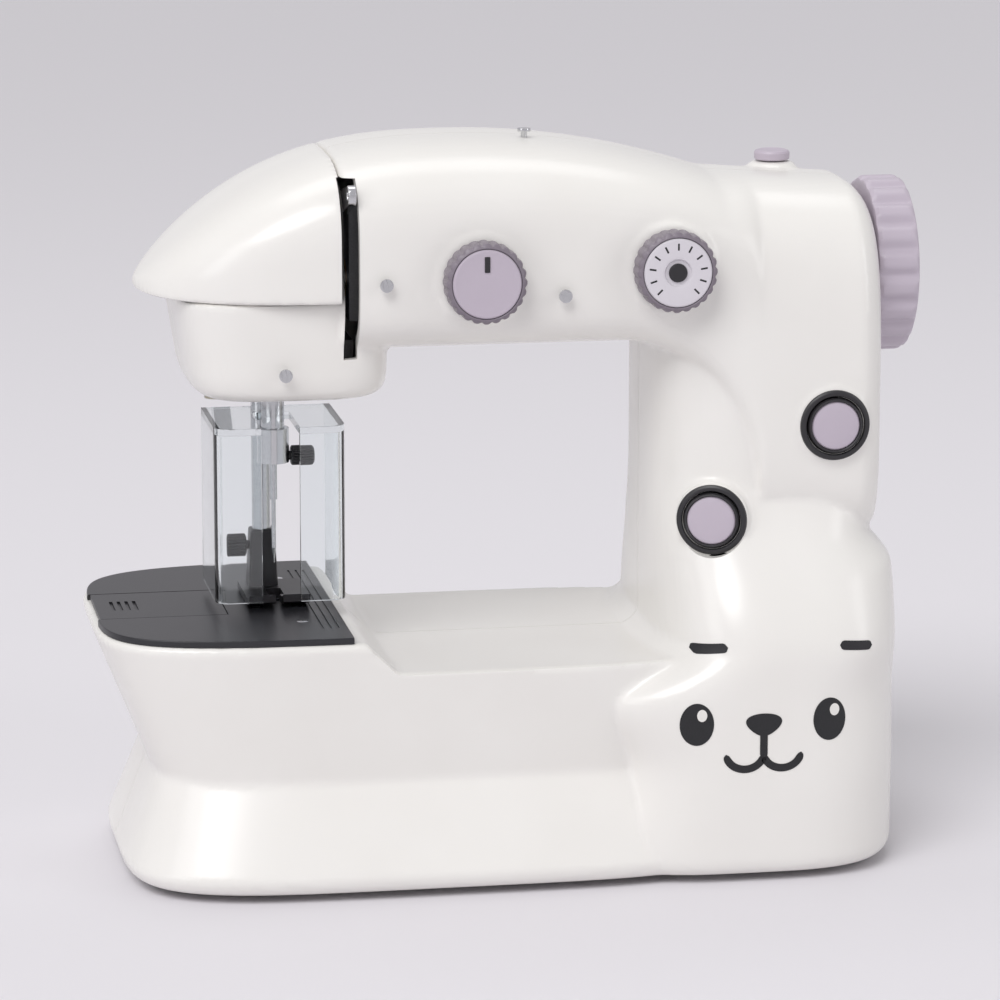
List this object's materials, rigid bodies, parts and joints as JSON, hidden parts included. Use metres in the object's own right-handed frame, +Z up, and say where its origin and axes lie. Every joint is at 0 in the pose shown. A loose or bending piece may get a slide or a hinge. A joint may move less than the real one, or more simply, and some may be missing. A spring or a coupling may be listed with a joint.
{
  "type": "toy sewing machine",
  "caption": "White toy sewing machine with a pointed needle head, arched arm, stepped bed, clear needle guard, round dials and buttons, and a side handwheel that turns a working drive.",
  "frame": {"origin": "on the table under the middle of the machine's bounding box", "axes": "+X from the needle end to the handwheel, +Y to the back, +Z up"},
  "size_m": [0.2158, 0.1058, 0.1916],
  "materials": {
    "white_plastic": "glossy injection-moulded plastic",
    "lilac_plastic": "satin injection-moulded plastic",
    "black_plastic": "satin moulded plastic",
    "clear_plastic": "clear moulded plastic",
    "lens_plastic": "frosted clear plastic",
    "dark_plate": "dark satin painted steel",
    "steel": "ground and polished steel",
    "cast_alloy": "die-cast alloy",
    "brass": "sintered bronze",
    "nylon": "moulded nylon",
    "rubber": "moulded rubber",
    "bobbin_plastic": "moulded plastic"
  },
  "bodies": {
    "machine": {"front_shell": "white_plastic", "rear_shell": "white_plastic", "head_cover": "white_plastic", "bottom_cover": "white_plastic", "battery_door": "white_plastic", "battery_contacts": "steel", "rubber_feet": "rubber", "shell_screws": "steel", "chassis": "cast_alloy", "shaft_bushes": "brass", "bar_bushes": "brass", "needle_plate": "dark_plate", "plate_screws": "steel", "bobbin_case": "steel", "drive_belt": "rubber", "motor": "steel", "lamp_lens": "lens_plastic", "thread_guides": "steel", "dc_jack": "black_plastic", "pedal_jack": "black_plastic", "presser_spring": "steel"},
    "drive": {"main_shaft": "steel", "crank_disc": "cast_alloy", "upper_pulley": "nylon", "handwheel": "lilac_plastic"},
    "lower_drive": {"lower_shaft": "steel", "lower_pulley": "nylon", "drive_gear": "nylon", "rotary_hook": "steel"},
    "rotor": {"motor_pinion": "brass"},
    "bobbin_body": {"bobbin": "bobbin_plastic"},
    "feed": {"feed_dog": "steel"},
    "needle_body": {"needle_bar": "steel", "needle_yoke": "cast_alloy", "needle_clamp": "steel", "clamp_screw": "black_plastic", "needle": "steel"},
    "take_up": {"take_up_lever": "steel"},
    "presser": {"presser_bar": "steel", "presser_collar": "cast_alloy", "presser_foot": "black_plastic", "foot_screw": "black_plastic", "needle_guard": "clear_plastic"},
    "lift": {"presser_lever": "steel"},
    "tension": {"tension_dial": "lilac_plastic"},
    "speed": {"speed_dial": "lilac_plastic"},
    "power": {"power_button": "lilac_plastic"},
    "lamp": {"lamp_button": "lilac_plastic"},
    "cover": {"bobbin_cover": "dark_plate"},
    "spool": {"spool_pin": "lilac_plastic"}
  },
  "joints": [
    {"name": "wheel_spin", "type": "hinge", "parent": "machine", "child": "drive", "pos_m": [0, 0, 0.153], "axis": [1, 0, 0], "continuous": true},
    {"name": "lower_spin", "type": "hinge", "parent": "machine", "child": "lower_drive", "pos_m": [0, 0, 0.046], "axis": [1, 0, 0], "continuous": true},
    {"name": "motor_spin", "type": "hinge", "parent": "machine", "child": "rotor", "pos_m": [0.05, -0.02, 0.046], "axis": [1, 0, 0], "continuous": true},
    {"name": "bobbin_spin", "type": "hinge", "parent": "machine", "child": "bobbin_body", "pos_m": [-0.066, 0, 0.046], "axis": [1, 0, 0], "continuous": true},
    {"name": "feed_slide", "type": "slide", "parent": "machine", "child": "feed", "axis": [0, 1, 0], "range_m": [-0.00125, 0.00125]},
    {"name": "needle_slide", "type": "slide", "parent": "machine", "child": "needle_body", "axis": [0, 0, 1], "range_m": [-0.02, 0]},
    {"name": "take_up_turn", "type": "hinge", "parent": "machine", "child": "take_up", "pos_m": [-0.043, 0.008, 0.168], "axis": [1, 0, 0], "range_deg": [0, 50]},
    {"name": "lever_turn", "type": "hinge", "parent": "machine", "child": "lift", "pos_m": [-0.068, 0.018, 0.1385], "axis": [1, 0, 0], "range_deg": [0, 70]},
    {"name": "presser_slide", "type": "slide", "parent": "machine", "child": "presser", "axis": [0, 0, 1], "range_m": [0, 0.0055], "deforming": ["presser_spring"]},
    {"name": "cover_slide", "type": "slide", "parent": "machine", "child": "cover", "axis": [-1, 0, 0], "range_m": [0, 0.022]},
    {"name": "tension_turn", "type": "hinge", "parent": "machine", "child": "tension", "pos_m": [-0.01, -0.04, 0.1575], "axis": [0, -1, 0], "range_deg": [-150, 150]},
    {"name": "speed_turn", "type": "hinge", "parent": "machine", "child": "speed", "pos_m": [0.039, -0.04, 0.159], "axis": [0, -1, 0], "range_deg": [-60, 60]},
    {"name": "power_push", "type": "slide", "parent": "machine", "child": "power", "axis": [0, 1, 0], "range_m": [0, 0.0015], "stiffness_N_per_m": 300, "springref_m": -0.0005},
    {"name": "lamp_push", "type": "slide", "parent": "machine", "child": "lamp", "axis": [0.342, 0.9397, 0], "range_m": [0, 0.0015], "stiffness_N_per_m": 300, "springref_m": -0.0005},
    {"name": "spool_slide", "type": "slide", "parent": "machine", "child": "spool", "axis": [0, 0, 1], "range_m": [0, 0.038]}
  ],
  "couplings": [
    {"joint": "lower_spin", "follows": "wheel_spin", "ratio": 2},
    {"joint": "motor_spin", "follows": "wheel_spin", "ratio": -8},
    {"joint": "take_up_turn", "follows": "needle_slide", "rad_per_m": -43.633},
    {"joint": "presser_slide", "follows": "lever_turn", "m_per_rad": 0.0045018}
  ]
}
